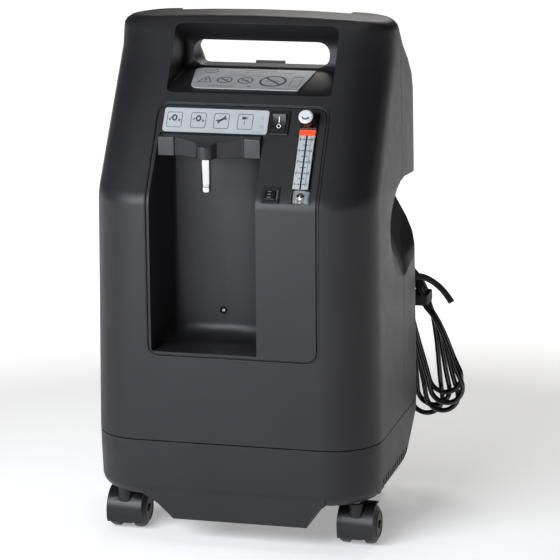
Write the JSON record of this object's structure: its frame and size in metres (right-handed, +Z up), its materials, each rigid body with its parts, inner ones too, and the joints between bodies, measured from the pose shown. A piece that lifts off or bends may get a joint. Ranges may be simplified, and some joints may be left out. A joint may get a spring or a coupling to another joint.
{
  "type": "oxygen concentrator",
  "caption": "Upright bedside oxygen concentrator: moulded cabinet with carrying bar, humidifier recess, flow meter, switch, swivel casters, strapped power cord, compressor and sieve beds.",
  "frame": {"origin": "on the floor under the middle of the cabinet's footprint", "axes": "+Z up, -Y out of the front with the controls, +X to the right of someone facing the front"},
  "size_m": [0.3858, 0.3719, 0.6105],
  "materials": {
    "charcoal_abs": "textured satin charcoal ABS",
    "black_plastic": "satin black moulding",
    "gloss_black": "semi-gloss black moulding",
    "grey_label": "light grey printed plate",
    "white_plastic": "white moulding",
    "clear_acrylic": "clear acrylic block with a blind tube bored in it",
    "bright_fitting": "bright nickel plating",
    "steel": "zinc plated steel",
    "zinc_sheet": "bare zinc coated sheet",
    "cast_aluminium": "as-cast aluminium",
    "drawn_aluminium": "drawn aluminium can",
    "rubber": "black rubber",
    "cord_jacket": "black PVC jacket",
    "strap_fabric": "woven hook-and-loop strap",
    "foam": "open-cell filter foam",
    "board": "green solder mask",
    "copper": "bright drawn tube",
    "hose": "translucent silicone hose"
  },
  "bodies": {
    "cabinet": {"front_shell": "charcoal_abs", "rear_shell": "charcoal_abs", "base_pan": "charcoal_abs", "control_panel": "charcoal_abs", "outlet_hood": "gloss_black", "oxygen_outlet": "bright_fitting", "indicator_panel": "grey_label", "recess_screw": "steel", "instruction_label": "grey_label", "power_switch_bezel": "black_plastic", "breaker_bezel": "black_plastic", "flow_meter_body": "clear_acrylic", "flow_valve_body": "gloss_black", "rear_filter_cover": "charcoal_abs", "cabinet_air_filter": "foam", "exhaust_grille": "black_plastic", "strain_relief": "rubber", "power_cord": "cord_jacket", "cord_hank": "cord_jacket", "power_plug": "cord_jacket", "cord_strap": "strap_fabric", "compressor_tray": "zinc_sheet", "compressor_motor": "cast_aluminium", "crankcase_left": "cast_aluminium", "crankcase_right": "cast_aluminium", "cylinder_head_left": "cast_aluminium", "cylinder_head_right": "cast_aluminium", "mid_shelf": "zinc_sheet", "sieve_bed_left": "drawn_aluminium", "sieve_bed_right": "drawn_aluminium", "product_tank": "white_plastic", "valve_manifold": "cast_aluminium", "fan_housing": "black_plastic", "circuit_board": "board", "intake_filter": "black_plastic", "exhaust_muffler": "rubber", "run_capacitor": "drawn_aluminium", "outlet_hose": "hose", "heat_exchanger_coil": "copper", "caster_stem_front_left": "steel", "rubber_mount_front_left": "rubber", "caster_stem_front_right": "steel", "rubber_mount_front_right": "rubber", "caster_stem_rear_left": "steel", "rubber_mount_rear_left": "rubber", "caster_stem_rear_right": "steel", "rubber_mount_rear_right": "rubber"},
    "switch_rocker": {"power_switch_rocker": "gloss_black"},
    "reset_button": {"breaker_button": "gloss_black"},
    "float": {"flow_meter_float": "steel"},
    "flow_knob": {"flow_control_knob": "white_plastic"},
    "fan": {"fan_rotor": "black_plastic"},
    "caster_front_left": {"caster_hood_front_left": "black_plastic"},
    "wheels_front_left": {"caster_wheels_front_left": "black_plastic"},
    "caster_front_right": {"caster_hood_front_right": "black_plastic"},
    "wheels_front_right": {"caster_wheels_front_right": "black_plastic"},
    "caster_rear_left": {"caster_hood_rear_left": "black_plastic"},
    "wheels_rear_left": {"caster_wheels_rear_left": "black_plastic"},
    "caster_rear_right": {"caster_hood_rear_right": "black_plastic"},
    "wheels_rear_right": {"caster_wheels_rear_right": "black_plastic"}
  },
  "joints": [
    {"name": "power_switch_tilt", "type": "hinge", "parent": "cabinet", "child": "switch_rocker", "pos_m": [0.0515, -0.09961, 0.4965], "axis": [1, 0, 0], "range_deg": [-16, 0]},
    {"name": "breaker_press", "type": "slide", "parent": "cabinet", "child": "reset_button", "axis": [0, 0.8485, -0.5292], "range_m": [0, 0.002], "stiffness_N_per_m": 400},
    {"name": "float_rise", "type": "slide", "parent": "cabinet", "child": "float", "axis": [0, 0.5292, 0.8485], "range_m": [0, 0.06]},
    {"name": "flow_knob_turn", "type": "hinge", "parent": "cabinet", "child": "flow_knob", "pos_m": [0.0859, -0.09865, 0.49805], "axis": [0, -0.8485, 0.5292], "range_deg": [0, 1080]},
    {"name": "fan_spin", "type": "hinge", "parent": "cabinet", "child": "fan", "pos_m": [-0.085, 0.07, 0.1957], "axis": [0, 0, 1], "continuous": true},
    {"name": "caster_swivel_front_left", "type": "hinge", "parent": "cabinet", "child": "caster_front_left", "pos_m": [-0.1405, -0.106, 0.05], "axis": [0, 0, 1], "continuous": true},
    {"name": "caster_roll_front_left", "type": "hinge", "parent": "caster_front_left", "child": "wheels_front_left", "pos_m": [-0.1405, -0.088, 0.0235], "axis": [1, 0, 0], "continuous": true},
    {"name": "caster_swivel_front_right", "type": "hinge", "parent": "cabinet", "child": "caster_front_right", "pos_m": [0.1415, -0.106, 0.05], "axis": [0, 0, 1], "continuous": true},
    {"name": "caster_roll_front_right", "type": "hinge", "parent": "caster_front_right", "child": "wheels_front_right", "pos_m": [0.1415, -0.088, 0.0235], "axis": [1, 0, 0], "continuous": true},
    {"name": "caster_swivel_rear_left", "type": "hinge", "parent": "cabinet", "child": "caster_rear_left", "pos_m": [-0.105, 0.08, 0.05], "axis": [0, 0, 1], "continuous": true},
    {"name": "caster_roll_rear_left", "type": "hinge", "parent": "caster_rear_left", "child": "wheels_rear_left", "pos_m": [-0.105, 0.098, 0.0235], "axis": [1, 0, 0], "continuous": true},
    {"name": "caster_swivel_rear_right", "type": "hinge", "parent": "cabinet", "child": "caster_rear_right", "pos_m": [0.105, 0.08, 0.05], "axis": [0, 0, 1], "continuous": true},
    {"name": "caster_roll_rear_right", "type": "hinge", "parent": "caster_rear_right", "child": "wheels_rear_right", "pos_m": [0.105, 0.098, 0.0235], "axis": [1, 0, 0], "continuous": true}
  ]
}
